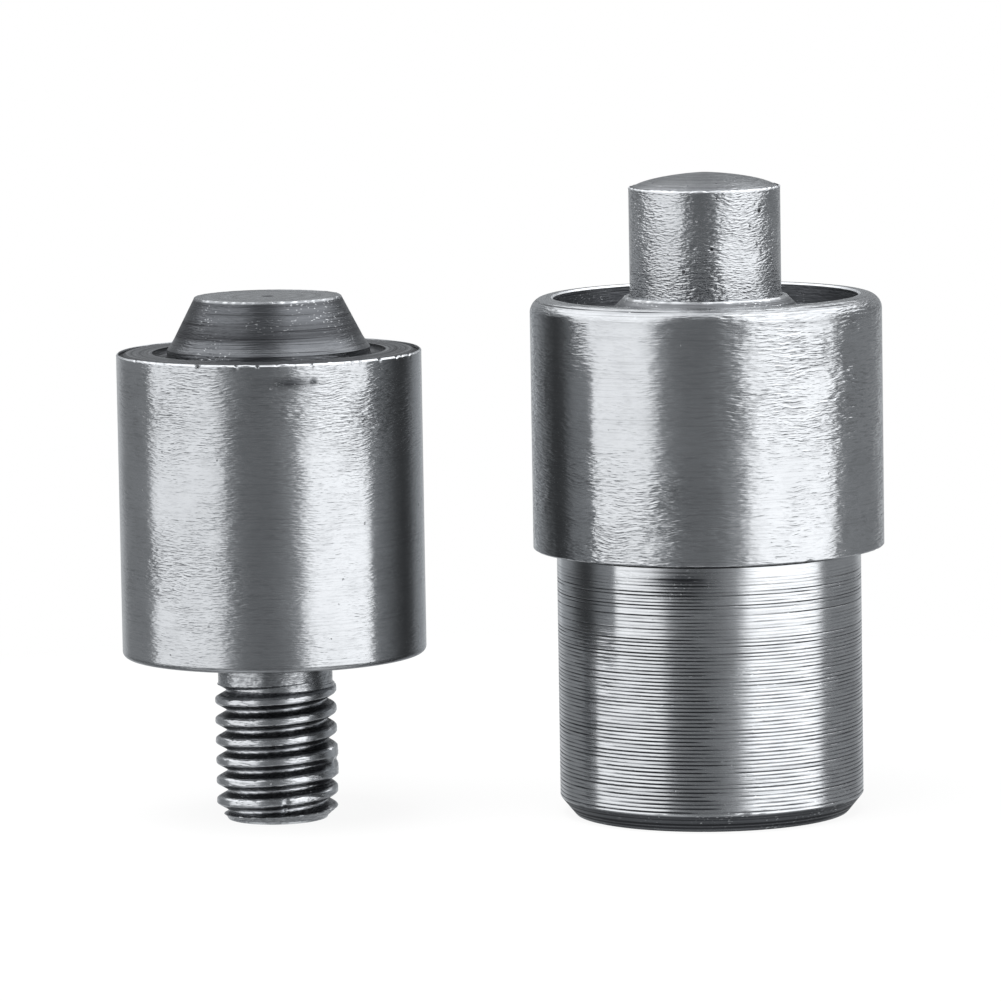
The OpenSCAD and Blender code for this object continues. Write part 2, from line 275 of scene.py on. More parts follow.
# The groove's sides are painted dark, for cutting oil and painted shade, and its floor and crests carry
# painted highlights
stud_depth = (STUD_R - stud_radius) / THREAD_DEPTH
on_side = np.clip((stud_depth - 0.1) / 0.2, 0, 1) * np.clip((0.97 - stud_depth) / 0.12, 0, 1)
stud_dull[:] = np.where((stud_height > 0.5) & (stud_height < THREAD_TOP),
                        1.12 * on_side - 0.15 * (stud_depth < 0.05) - 0.6 * (stud_depth > 0.97), stud_dull)
stud_grit = np.random.default_rng(47).uniform(-0.28, 0.28, stud_dull.shape)
stud_dull += stud_grit * in_thread * (0.3 + 0.7 * on_side)

wall = band([
    (line((3.3, SHOULDER_Z), (UPPER_R - 0.5, SHOULDER_Z), 8), 0.6),
    (line((UPPER_R - 0.5, SHOULDER_Z), (UPPER_R - LOWER_ROUND, SHOULDER_Z), 3), 0.5),
    (bow((UPPER_R - LOWER_ROUND, SHOULDER_Z + LOWER_ROUND), LOWER_ROUND, -90, 0, 12), 0.35),
    (line((UPPER_R, SHOULDER_Z + LOWER_ROUND), (UPPER_R, FACE_Z - 1.5), 18), 0),
    (line((UPPER_R, FACE_Z - 1.5), (UPPER_R, EDGE_Z), 8), 0),
], BODY_COLUMNS)
# A dull stain and a pit lie just under the face at the front
body_angle = circle(BODY_COLUMNS)
_, wall_height, wall_dull = wall
stain = bell(turn_from(body_angle, -80), 7) * bell(wall_height - FACE_Z + 0.9, 0.35)
wall_pit = bell(turn_from(body_angle, -71.5), 1) * bell(wall_height - FACE_Z + 0.85, 0.13)
wall_dull += 1.1 * stain + 1.4 * wall_pit

edge = band([
    (line((UPPER_R, EDGE_Z), (UPPER_R, FACE_Z - EDGE_BEVEL), 9), 0),
    # The bevel carries a painted highlight
    (line((UPPER_R, FACE_Z - EDGE_BEVEL), (UPPER_R - EDGE_BEVEL, FACE_Z), 3), -0.6),
    (line((UPPER_R - EDGE_BEVEL, FACE_Z), (UPPER_R - 0.12, FACE_Z - 0.04), 2), 0.3),
    # A narrow groove behind the burr, painted black as shade
    (line((UPPER_R - 0.13, FACE_Z - 0.16), (UPPER_R - 0.34, FACE_Z - 0.16), 3), 1.6),
    (line((UPPER_R - 0.38, FACE_Z - 0.03), (UPPER_R - 0.46, FACE_Z), 2), 1.3),
], EDGE_COLUMNS)
edge_angle = circle(EDGE_COLUMNS)
edge_radius, edge_height, edge_dull = edge
# The face's edge is chipped and burred, most of all at the front
front = 0.3 + 0.7 * bell(turn_from(edge_angle, -86), 45)
chips = np.clip(1.5 * ripple(edge_angle, 14, 110, 43) - 0.75, 0, 1) * front
on_wall = (edge_radius > UPPER_R - EDGE_BEVEL) * np.clip((edge_height - FACE_Z + 0.42) / 0.4, 0, 1)
edge_height -= 0.2 * chips * on_wall ** 2
edge_radius -= 0.09 * chips * on_wall ** 2
edge_dull += 1.2 * chips * on_wall ** 3
burr = np.clip(ripple(edge_angle, 9, 90, 44), 0, 1.5) * front
edge_height += 0.05 * burr * (on_wall > 0.9) * (1 - chips)

# The curl groove, the cone's flank, darker on its lower half, and the centre mark are painted dark as
# shade; the cone's top edge carries a painted highlight
crown = band([
    (line((UPPER_R - 0.46, FACE_Z), (CURL_MOUTH_R, FACE_Z), FACE_ROWS), 1.0),
    (bow(CURL_CENTRE, CURL_R, 3, -180, 14), 1.2),
    (line((CURL_CENTRE[0] - CURL_R, FACE_Z), (CURL_CENTRE[0] - CURL_R, FACE_Z + 0.15), 2), 1.1),
    (bow((FLARE_START[0] + FLARE_R * math.cos(math.radians(FLANK)),
          FLARE_START[1] + FLARE_R * math.sin(math.radians(FLANK))),
         FLARE_R, 180 + FLARE_END, 180 + FLANK, 8), 1.0),
    (line(FLARE_START, FLANK_MIDDLE, 10), 1.25),
    (line(FLANK_MIDDLE, FLANK_TOP, 10), 1.16),
    (line(FLANK_TOP, (CONE_TIP_R - 0.05, CONE_TOP), 4), -0.7),
    (line((CONE_TIP_R - 0.05, CONE_TOP), (TIP_FACE_R, TIP_FACE_Z), 2), 0.5),
    (line((TIP_FACE_R, TIP_FACE_Z), (CENTRE_MARK_R, TIP_FACE_Z), TIP_ROWS), 0.36),
    (line((CENTRE_MARK_R, TIP_FACE_Z), (0.03, TIP_FACE_Z - CENTRE_MARK_DEPTH), 4), 1.4),
], BODY_COLUMNS)
crown_radius, crown_height, crown_dull = crown
# The facing tool left fine rings, some rubbed and some still black. A few stay plain, where rounding takes
# their height a hair off the face's.
ring_tone = np.random.default_rng(46).uniform(-1, 1, len(crown_radius))[:, None]
on_face = (crown_height == FACE_Z) & (crown_radius > CURL_MOUTH_R)
on_tip = (crown_radius < TIP_FACE_R) & (crown_radius > 0.3)
crown_dull += 0.45 * ring_tone * on_face
crown_dull += (0.1 * ring_tone + 0.24 * np.cos(2 * np.pi * crown_radius / TIP_RING_STEP)) * on_tip
on_flank = (crown_height > FACE_Z + 0.16) & (crown_height < CONE_TOP - 0.06)
crown_dull += 0.09 * ring_tone * on_flank
# A thin broken burr stands on the cone's tip. It keeps the painted highlight, and the edge between its
# pieces is painted dark
tip_burr = np.clip(ripple(body_angle, 6, 55, 45), 0, 1)
on_tip_edge = bell(crown_radius - CONE_TIP_R, 0.035) * (crown_height > CONE_TOP - 0.06)
crown_height += 0.045 * tip_burr * on_tip_edge
crown_height[:] = np.minimum(crown_height, CONE_TOP)
crown_dull += 1.6 * (1 - tip_burr) * on_tip_edge


def upper_torn(angle, height):
    """Where the finishing tool tore the upper die: at the top of its left side, in a belt lower down, high
    on its right side, and round its neck. Above the face it tore less."""
    left = bell(turn_from(angle, -128), 24) * np.clip((height - 17.5) / 3, 0, 1)
    belt = bell(turn_from(angle, -125), 26) * bell(height - 13.2, 2.6)
    right = bell(turn_from(angle, -55), 24) * bell(height - 20.8, 2.4)
    neck = bell(height - 7.4, 0.6)
    above_face = height > FACE_Z
    return (0.3 + 0.7 * np.clip(left + belt + 1.3 * right, 0, 1.3) + 0.3 * neck) * (1 - 0.4 * above_face)


upper_die = skin("upper_die_turned", [stud, wall, edge, crown], UPPER_X, upper_torn,
                 poles=(0, TIP_FACE_Z - CENTRE_MARK_DEPTH - 0.03))


def put(tree, kind, inputs=None, **settings):
    """Adds a shader node. An input given as a socket is linked, and any other value is set on it."""
    made = tree.nodes.new(kind)
    for name, value in settings.items():
        setattr(made, name, value)
    for name, value in (inputs or {}).items():
        socket = made.inputs[name]
        if isinstance(value, bpy.types.NodeSocket):
            tree.links.new(value, socket)
        else:
            socket.default_value = value
    return made


def work_out(tree, operation, first, second):
    """What a maths operation makes of two sockets or numbers."""
    return put(tree, "ShaderNodeMath", {0: first, 1: second}, operation=operation).outputs[0]


def threshold(tree, value, low, high):
    """0 below low and 1 above high, with a smooth rise between. High may be the lesser of the two."""
    return put(tree, "ShaderNodeMapRange", {"Value": value, "From Min": low, "From Max": high},
               interpolation_type="SMOOTHSTEP").outputs["Result"]


def blank(name):
    """A new material, and its node tree with nothing in it."""
    material = bpy.data.materials.new(name)
    material.use_nodes = True
    material.node_tree.nodes.clear()
    return material, material.node_tree


def blend(tree, share, first, second):
    """The first colour, and the second in that share of it."""
    return put(tree, "ShaderNodeMix", {"Factor": share, 6: first, 7: second}, data_type="RGBA").outputs[2]


# Dull steel; black for oil and painted shade; near white for burrs and painted highlights
DULL_STEEL = (0.15, 0.155, 0.165, 1)
OIL_AND_SHADE_BLACK = (0.045, 0.046, 0.05, 1)
BURR_AND_HIGHLIGHT_WHITE = (0.88, 0.89, 0.91, 1)
MICROMETRE = 0.001 * MM


def steel(name, axis_x, colour, gloss, length=0.6, height=0.11, depth=22.0, marks=0.6, lines=0.4,
          pits=0.5, waves=4.0, from_axis=False, dull_gloss=0.32):
    """Turned steel. Short wavy tears of that length and height lie across the piece where it is torn, to
    that depth in micrometres, over low waves of their own depth. Marks, lines and pits say how strongly
    the tears, the fine turning lines and the small pits darken it. Dull steel is darker, its gloss goes
    over to dull_gloss, and it has rubbed bright flecks. Beyond full dullness it is painted black, for oil
    and for painted shade in grooves, gaps and hollows, and dullness below zero paints it near white and
    rough, for a burr and for painted highlights along edges. A CAD node's mesh holds no length along its
    outline, so with from_axis its lines follow the distance from its axis."""
    material, tree = blank(name)

    def times(first, second):
        return work_out(tree, "MULTIPLY", first, second)

    def plus(first, second):
        return work_out(tree, "ADD", first, second)

    def noise(vector, scale, detail, roughness=0.5):
        return put(tree, "ShaderNodeTexNoise", {"Vector": vector, "Scale": scale, "Detail": detail,
                                                "Roughness": roughness}).outputs["Fac"]

    raw = put(tree, "ShaderNodeTexCoord").outputs["Object"]
    place = put(tree, "ShaderNodeMapping", {"Vector": raw, "Location": (-axis_x, 0, 0),
                                            "Scale": (1 / MM,) * 3}).outputs["Vector"]
    along = put(tree, "ShaderNodeAttribute", attribute_name="along").outputs["Fac"]
    dull_shade_and_highlight = put(tree, "ShaderNodeAttribute", attribute_name="dull").outputs["Fac"]
    torn_raw = put(tree, "ShaderNodeAttribute", attribute_name="torn").outputs["Fac"]
    split = put(tree, "ShaderNodeSeparateXYZ", {"Vector": place})
    if from_axis:
        flat = put(tree, "ShaderNodeCombineXYZ", {"X": split.outputs["X"], "Y": split.outputs["Y"]})
        along = put(tree, "ShaderNodeVectorMath", {0: flat.outputs[0]}, operation="LENGTH").outputs["Value"]

    def grain(around, tall, shift):
        """Places for a pattern whose marks are that long round the piece and that tall."""
        return put(tree, "ShaderNodeCombineXYZ", {"X": times(split.outputs["X"], 1 / around),
                                                  "Y": times(split.outputs["Y"], 1 / around),
                                                  "Z": times(plus(along, shift), 1 / tall)}).outputs[0]

    wander = times(noise(place, 0.6, 1.0), 0.35)
    tear = noise(grain(length, height, wander), 1.0, 1.0)
    small = noise(grain(length * 0.5, height * 0.55, wander), 1.0, 1.0)
    patch = threshold(tree, noise(place, 0.4, 1.5), 0.36, 0.6)
    torn = times(torn_raw, plus(0.5, times(patch, 0.5)))
    fine = noise(grain(9.0, 0.1, 0.0), 1.0, 3.0, 0.7)
    wave = noise(grain(0.8, 0.35, wander), 1.0, 1.0)
    blotch = noise(place, 0.45, 2.5, 0.6)
    holes = put(tree, "ShaderNodeTexVoronoi", {"Vector": place, "Scale": 1.1}).outputs["Distance"]
    hole_size = times(noise(place, 0.9, 0.0), 0.1 + 0.06 * pits)
    pit = threshold(tree, work_out(tree, "SUBTRACT", holes, hole_size), 0.0, -0.035)
    flecks = times(threshold(tree, noise(grain(0.17, 0.08, 0.0), 1.0, 0.0), 0.68, 0.76),
                   threshold(tree, blotch, 0.46, 0.58))
    dull = times(put(tree, "ShaderNodeClamp", {"Value": dull_shade_and_highlight}).outputs[0],
                 plus(1.0, times(flecks, -0.7)))
    # Dullness past 1 paints black, for oil and painted shade; below 0 it paints near white, for burrs and
    # painted highlights
    oil_and_shade = threshold(tree, dull_shade_and_highlight, 1.0, 1.5)
    burr_and_highlight = put(tree, "ShaderNodeClamp", {"Value": times(dull_shade_and_highlight, -1.0)}).outputs[0]

    shade = times(times(threshold(tree, tear, 0.46, 0.34), torn), 0.5 * marks)
    shade = plus(shade, times(times(threshold(tree, small, 0.46, 0.3), torn), 0.4 * marks))
    shade = plus(shade, times(threshold(tree, fine, 0.48, 0.34), plus(0.2 * lines, times(dull, 0.75))))
    shade = plus(shade, times(threshold(tree, blotch, 0.6, 0.3), 0.08))
    shade = plus(shade, times(pit, 0.7 * pits))
    shade = put(tree, "ShaderNodeClamp", {"Value": plus(shade, oil_and_shade)}).outputs[0]
    paint = blend(tree, dull, (*colour, 1), DULL_STEEL)
    paint = blend(tree, shade, paint, OIL_AND_SHADE_BLACK)
    paint = blend(tree, burr_and_highlight, paint, BURR_AND_HIGHLIGHT_WHITE)

    rough = plus(gloss, times(dull, dull_gloss - gloss))
    rough = plus(rough, times(blotch, 0.12))
    rough = plus(rough, times(burr_and_highlight, 0.25))
    rough = plus(rough, times(shade, 0.2))

    relief = times(times(tear, torn), depth)
    relief = plus(relief, times(times(small, torn), depth * 0.5))
    relief = plus(relief, times(fine, plus(10.0 * lines, times(dull, 14.0))))
    relief = plus(relief, times(wave, waves))
    relief = plus(relief, times(pit, -20.0 * pits))
    bumped = put(tree, "ShaderNodeBump", {"Height": relief, "Distance": MICROMETRE}).outputs["Normal"]

    surface = put(tree, "ShaderNodeBsdfPrincipled", {"Base Color": paint, "Metallic": 1.0,
                                                     "Roughness": rough, "Normal": bumped})
    put(tree, "ShaderNodeOutputMaterial", {"Surface": surface.outputs[0]})
    return material


upper_die.data.materials.append(steel("upper_die_steel", UPPER_X, (0.62, 0.63, 0.645), 0.1, height=0.085,
                                      depth=58.0, marks=0.7, lines=0.5, dull_gloss=0.22))
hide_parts("upper_die")
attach(upper_die, "upper")

# Base of the lower die.
# Turned from bar with a coarse feed, which leaves a fine groove at each turn of the shank. Its top holds
# the trough and the sharp crest that the eyelet's flange sits in, and it is bored for pin and spring.
BASE_X, SHANK_R, _, RIM_Z = node_sizes("anvil_base")
SLEEVE_R, SLEEVE_Z = node_sizes("outer_sleeve")[1:3]
PIN_R, PIN_Z = node_sizes("centre_pin")[1:3]
PLUG_R = node_sizes("screw_plug")[1]
BORE_R = PIN_R + 0.05
CHAMBER_R = 5.5
CHAMBER_TOP = 19.0
PLUG_TOP = 3.5
PLUG_CHAMFER = 0.15
FOOT_CHAMFER = 0.75
SHANK_BOTTOM = 0.9
# A relief groove runs between the shank and the sleeve
SHANK_TOP = SLEEVE_Z - 0.2
RELIEF_R = SHANK_R - 0.2
RELIEF_TOP = SHANK_TOP + 0.65
SEAT_R = SHANK_R - 0.01
SEAT_TOP = 24.5
CREST_IN = BORE_R + 0.05
CREST_OUT = CREST_IN + 0.14
# The trough is an arc that meets the sleeve at 41 degrees and runs out into the crest's 45 degree slope
CREST_SLOPE = 45
TROUGH_RISE = 41
TROUGH_DEPTH = 1.5
TROUGH_R = (SHANK_R - CREST_OUT - TROUGH_DEPTH) / (
    math.sin(math.radians(CREST_SLOPE)) + math.sin(math.radians(TROUGH_RISE))
    - math.tan(math.radians(CREST_SLOPE / 2)))
TROUGH_CENTRE = (SHANK_R - TROUGH_R * math.sin(math.radians(TROUGH_RISE)), RIM_Z - TROUGH_DEPTH + TROUGH_R)
SHANK_COLUMNS = 240
# The hand feed slows towards the sleeve. Each turn has four rings, at these shares of its feed.
FEED_AT_FOOT = 0.198
FEED_AT_SLEEVE = 0.156
FEED_TURNS = 69
DEEPEST = 0.68
FEED_SHARES = (0.1, 0.4, DEEPEST, 0.96)
DUG_IN_AT = -101

feed = np.linspace(FEED_AT_FOOT, FEED_AT_SLEEVE, FEED_TURNS)
turn_starts = SHANK_BOTTOM + np.concatenate([[0], feed.cumsum()[:-1]])
feed_rows = (turn_starts[:, None] + feed[:, None] * np.array(FEED_SHARES)).ravel()
feed_rows = feed_rows[feed_rows < SHANK_TOP - 0.03]
shank = band([
    (line((PLUG_R, PLUG_CHAMFER), (PLUG_R + PLUG_CHAMFER, 0), 3), 0.8),
    (line((PLUG_R + PLUG_CHAMFER, 0), (SHANK_R - FOOT_CHAMFER, 0), 4), 1.0),
    (line((SHANK_R - FOOT_CHAMFER, 0), (SHANK_R - FOOT_CHAMFER + 0.05, 0.05), 2), 0.9),
    # The foot's chamfer, facing down, is painted dark as shade
    (line((SHANK_R - FOOT_CHAMFER + 0.05, 0.05), (SHANK_R - 0.02, SHANK_BOTTOM - 0.02), 14), 1.2),
    (np.stack([np.full(len(feed_rows), SHANK_R), feed_rows], 1), 0),
    (line((SHANK_R, SHANK_TOP - 0.02), (SHANK_R - 0.03, SHANK_TOP), 2), 0.2),
    (line((RELIEF_R, SHANK_TOP), (RELIEF_R, RELIEF_TOP), 3), 1),
    (line((SEAT_R, RELIEF_TOP), (SEAT_R, SEAT_TOP), 6), 0.8),
], SHANK_COLUMNS)
shank_angle = circle(SHANK_COLUMNS)
shank_radius, shank_height, shank_dull = shank
turn_number = np.clip(np.searchsorted(turn_starts, shank_height + 1e-6) - 1, 0, FEED_TURNS - 1)
within = (shank_height - turn_starts[turn_number]) / feed[turn_number]
# Each turn of the feed cuts to its own depth, which also changes slowly round the shank. The turns grow
# more alike towards the foot.
each_turn = np.random.default_rng(51).uniform(0, 1, FEED_TURNS)[turn_number]
evenness = np.clip((12.2 - shank_height) / 7, 0.1, 0.75)
around = 0.95 + 0.45 * ripple(shank_angle + 0.9 * turn_number, 1, 22, 52)
# It dug in most a little left of the front, and barely touched just right of it
shifted = turn_from(shank_angle, DUG_IN_AT) + 9 * each_turn
around += 0.4 * bell(shifted, 10) - 0.6 * bell(shifted - 19, 9)
on_shank = (shank_height >= SHANK_BOTTOM) & (shank_height < SHANK_TOP - 0.03)
groove = np.clip(1 - abs(within - DEEPEST) / 0.26, 0, 1)
cut_depth = (evenness + (1 - evenness) * 1.3 * each_turn) * around
feed_cut = on_shank * groove * np.clip(cut_depth, 0.05, 1.15)
feed_cut *= np.clip((12.6 - shank_height) / 0.5, 0.1, 1)
shank_radius -= 0.028 * feed_cut
# The feed grooves are painted dark as shade, darker where they cut deeper, most of all where the tool dug
# in
shank_dull += (1.2 + 1.8 * bell(shifted, 16)) * feed_cut
# A patch just under the sleeve, a little left of the front, is painted darker
dark_under_sleeve = bell(turn_from(shank_angle, DUG_IN_AT), 11) * bell(shank_height - 12.3, 0.75)
shank_dull += 1.3 * dark_under_sleeve * (shank_height < SHANK_TOP) * (0.35 + 0.9 * each_turn)
# The chamfer has its own rings, and small nicks along its upper edge
foot_tone = np.random.default_rng(56).uniform(-0.35, 0.35, len(shank_radius))[:, None]
shank_dull += foot_tone * (shank_height > 0.04) * (shank_height < SHANK_BOTTOM - 0.03)
foot_nicks = np.clip(ripple(shank_angle, 9, 60, 53) - 0.45, 0, 1)
shank_radius -= 0.07 * foot_nicks * bell(shank_height - SHANK_BOTTOM, 0.15)

inside = band([
    (bow(TROUGH_CENTRE, TROUGH_R, TROUGH_RISE - 90, -90 - CREST_SLOPE, 16), 1.0),
    # The crest's outer slope is painted dark as shade
    (line((CREST_OUT + 0.9, RIM_Z - 0.9), (CREST_OUT + 0.55, RIM_Z - 0.55), 4), 1.15),
    (line((CREST_OUT + 0.55, RIM_Z - 0.55), (CREST_OUT + 0.06, RIM_Z - 0.06), 6), 0.85),
    (line((CREST_OUT + 0.03, RIM_Z - 0.03), (CREST_IN, RIM_Z), 2), 0.2),
    (line((CREST_IN, RIM_Z), (BORE_R, RIM_Z - 0.05), 2), 0.2),
    (line((BORE_R, RIM_Z - 0.05), (BORE_R, CHAMBER_TOP), 8), 0.7),
    (line((BORE_R, CHAMBER_TOP), (CHAMBER_R, CHAMBER_TOP), 4), 0.9),
    (line((CHAMBER_R, CHAMBER_TOP), (CHAMBER_R, PLUG_TOP), 8), 0.9),
    (line((CHAMBER_R, PLUG_TOP), (PLUG_R, PLUG_TOP), 2), 0.9),
    (line((PLUG_R, PLUG_TOP), (PLUG_R, PLUG_CHAMFER), 4), 0.9),
], SHANK_COLUMNS)
inside_radius, inside_height, inside_dull = inside
# The crest's burr stands out and is painted near white, partly rubbed steel and partly a painted highlight,
# and the trough has a few turning rings
crest_burr = np.clip(ripple(shank_angle, 7, 50, 54), -0.6, 1)
at_crest = bell(np.hypot(inside_radius - CREST_OUT, inside_height - RIM_Z), 0.12)
inside_radius += 0.03 * crest_burr * at_crest
inside_dull -= 1.5 * np.clip(crest_burr, 0, 1) * at_crest
trough_tone = np.random.default_rng(57).uniform(-0.25, 0.25, len(inside_radius))[:, None]
inside_dull += trough_tone * (inside_height > RIM_Z - 2)

anvil_base = skin("anvil_base_turned", [shank, inside], BASE_X, lambda angle, height: 0.35)
anvil_base.data.materials.append(steel("base_steel", BASE_X, (0.77, 0.78, 0.795), 0.09, length=1.2,
                                       height=0.07, depth=20.0, marks=0.5, lines=1.0, pits=0.15))
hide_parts("anvil_base")
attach(anvil_base, "lower_base")

# Sleeve.
# A collar of polished tube pressed over the base, flush with its crest. Its rim is rounded with a file as
# it turns, which leaves a few fine rings, and small burrs hang on its lower edge.
SLEEVE_COLUMNS = 320
LOWER_BEVEL = 0.06
BORE_BEVEL = 0.09
RIM_ROUND = 0.75
RIM_ROWS = 34
sleeve = band([
    (line((SHANK_R, SLEEVE_Z + 0.02), (SHANK_R + 0.02, SLEEVE_Z), 2), 0.6),
    (line((SHANK_R + 0.02, SLEEVE_Z), (SLEEVE_R - LOWER_BEVEL, SLEEVE_Z), 5), 0.5),
    (line((SLEEVE_R - LOWER_BEVEL, SLEEVE_Z), (SLEEVE_R, SLEEVE_Z + LOWER_BEVEL), 4), 0.05),
    (line((SLEEVE_R, SLEEVE_Z + LOWER_BEVEL), (SLEEVE_R, SLEEVE_Z + 1.2), 14), 0),
    (line((SLEEVE_R, SLEEVE_Z + 1.2), (SLEEVE_R, RIM_Z - RIM_ROUND), 44), 0),
    (bow((SLEEVE_R - RIM_ROUND, RIM_Z - RIM_ROUND), RIM_ROUND, 0, 90, RIM_ROWS), 0.08),
    (line((SLEEVE_R - RIM_ROUND, RIM_Z), (SHANK_R + BORE_BEVEL, RIM_Z), 8), 0.1),
    # The bevel round the rim's inner edge carries a painted highlight
    (line((SHANK_R + BORE_BEVEL, RIM_Z), (SHANK_R, RIM_Z - BORE_BEVEL), 4), -0.9),
    (line((SHANK_R, RIM_Z - BORE_BEVEL), (SHANK_R, RIM_Z - 1.3), 8), 0.95),
    (line((SHANK_R, RIM_Z - 1.3), (SHANK_R, SLEEVE_Z + 0.02), 4), 0.8),
], SLEEVE_COLUMNS)
sleeve_angle = circle(SLEEVE_COLUMNS)
sleeve_radius, sleeve_height, sleeve_dull = sleeve
# The burrs hang mostly right of the front
hung = np.clip(ripple(sleeve_angle, 9, 80, 61) - 0.3, 0, 1)
hung *= 0.3 + bell(turn_from(sleeve_angle, -52), 14)
at_lower_edge = bell(np.hypot(sleeve_radius - SLEEVE_R, sleeve_height - SLEEVE_Z), 0.14)
sleeve_height += 0.07 * hung * at_lower_edge
sleeve_radius -= 0.05 * hung * at_lower_edge
# The file's rings come and go round the rim, and one of them is dark
on_rim = (sleeve_height > RIM_Z - 0.45) & (sleeve_radius > SHANK_R + 0.12)
file_rings = np.random.default_rng(63).uniform(-1, 1, len(sleeve_radius))[:, None]
come_and_go = 0.5 + 0.8 * bell(turn_from(sleeve_angle, -62), 30) + 0.4 * ripple(sleeve_angle, 1, 12, 62)
come_and_go = np.clip(come_and_go, 0, 1)
sleeve_height -= 0.005 * on_rim * come_and_go * (1 + file_rings)
sleeve_dull += 0.6 * on_rim * come_and_go * np.clip(file_rings, 0, 1)
dark_ring = bell(sleeve_height - RIM_Z + 0.14, 0.025) * on_rim
sleeve_dull += dark_ring * np.clip(0.6 + 0.6 * ripple(sleeve_angle, 1, 16, 64), 0, 1)


def sleeve_torn(angle, height):
    """Where the sleeve's wall is torn: high on its right side, low on its left, and at its two edges as
    seen from the front."""
    right = bell(turn_from(angle, -55), 26) * np.clip((height - 16.5) / 5, 0.25, 1)
    left = bell(turn_from(angle, -122), 24) * np.clip((19.5 - height) / 2.5, 0.05, 1)
    edges = bell(turn_from(angle, -172), 18) + bell(turn_from(angle, -8), 18)
    return 0.22 + 0.85 * np.clip(right + left + edges, 0, 1.2)


outer_sleeve = skin("outer_sleeve_turned", [sleeve], BASE_X, sleeve_torn)
outer_sleeve.data.materials.append(steel("sleeve_steel", BASE_X, (0.66, 0.67, 0.685), 0.1, length=0.8,
                                         depth=74.0, lines=0.6, pits=0.3, waves=14.0))
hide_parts("outer_sleeve")
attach(outer_sleeve, "lower_base")

# Centre pin.
# A length of drawn bright bar with a turned crown. It centres the eyelet, and slides down into the base
# as the dies close. A groove near its lower end holds the snap ring.
PIN_COLUMNS = 200
PIN_STANDS = 5.35
PIN_EDGE = RIM_Z + PIN_STANDS
PIN_TOP = node_sizes("centre_pin")[3]
PIN_CHAMFER = 0.4
PIN_LIP = 0.17
CROWN_ROWS = 26
RING_R = PIN_R + 0.05
RING_WIRE_R = 0.5
ROOF_GAP = 0.1
RING_Z = CHAMBER_TOP - ROOF_GAP - RING_WIRE_R
# The crown is a low dome that comes to a faint point. Its drop is a sum of powers of how far out it is.
out_share = 1 - np.linspace(0, 0.98, CROWN_ROWS)[:, None]
drop = 0.5 * out_share ** 2 + 0.3 * out_share + 0.2 * out_share ** 8
pin_crown = np.hstack([(PIN_R - PIN_LIP) * out_share, PIN_TOP - (PIN_TOP - PIN_EDGE) * drop])
pin = band([
    (line((0.4, PIN_Z), (PIN_R - PIN_CHAMFER, PIN_Z), 5), 0.6),
    (line((PIN_R - PIN_CHAMFER, PIN_Z), (PIN_R, PIN_Z + PIN_CHAMFER), 4), 0.4),
    (line((PIN_R, PIN_Z + PIN_CHAMFER), (PIN_R, RING_Z - RING_WIRE_R), 10), 0.3),
    (bow((RING_R, RING_Z), RING_WIRE_R, 264, 96, 12), 0.6),
    (line((PIN_R, RING_Z + RING_WIRE_R), (PIN_R, RIM_Z), 12), 0.3),
    (line((PIN_R, RIM_Z), (PIN_R, PIN_EDGE - 0.3), 30), 0),
    (line((PIN_R, PIN_EDGE - 0.3), (PIN_R, PIN_EDGE - 0.07), 6), 0),
    # The edge's bevel carries a painted highlight, and the step inside it is painted black as shade
    (line((PIN_R, PIN_EDGE - 0.07), (PIN_R - 0.08, PIN_EDGE), 5), -0.9),
    (line((PIN_R - 0.08, PIN_EDGE), (PIN_R - PIN_LIP, PIN_EDGE - 0.05), 4), 1.3),
    (pin_crown, 0.7),
], PIN_COLUMNS)
pin_angle = circle(PIN_COLUMNS)
pin_radius, pin_height, pin_dull = pin
# The turned edge has a thin broken burr, painted as a highlight where it stands and darker between its
# pieces
pin_lip = np.clip(0.5 + ripple(pin_angle, 6, 60, 71), 0, 1)
at_pin_edge = bell(np.hypot(pin_radius - PIN_R + 0.03, pin_height - PIN_EDGE + 0.03), 0.06)
pin_dull += (0.8 - 1.4 * pin_lip) * at_pin_edge
pin_radius += 0.02 * pin_lip * at_pin_edge
pin_height += 0.05 * pin_lip * at_pin_edge
pin_tone = np.random.default_rng(72).uniform(-0.15, 0.15, len(pin_radius))[:, None]
pin_dull += pin_tone * (pin_height > PIN_EDGE + 0.02)
centre_pin = skin("centre_pin_turned", [pin], BASE_X,
                  lambda angle, height: 1 - 0.4 * (height > PIN_EDGE - 0.1), poles=(PIN_Z, PIN_TOP))
centre_pin.data.materials.append(steel("pin_steel", BASE_X, (0.62, 0.63, 0.645), 0.12, length=0.38,
                                       height=0.095, depth=76.0, marks=0.4, pits=1.2, waves=14.0))
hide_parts("centre_pin")
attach(centre_pin, "pin")

# Snap ring.
# An open ring of blackened spring wire, sprung into the pin's groove. It stops the pin at the roof of the
# chamber.
WIRE_DULL = 0.4
WIRE_TORN = 0.3
END_STEPS = 5


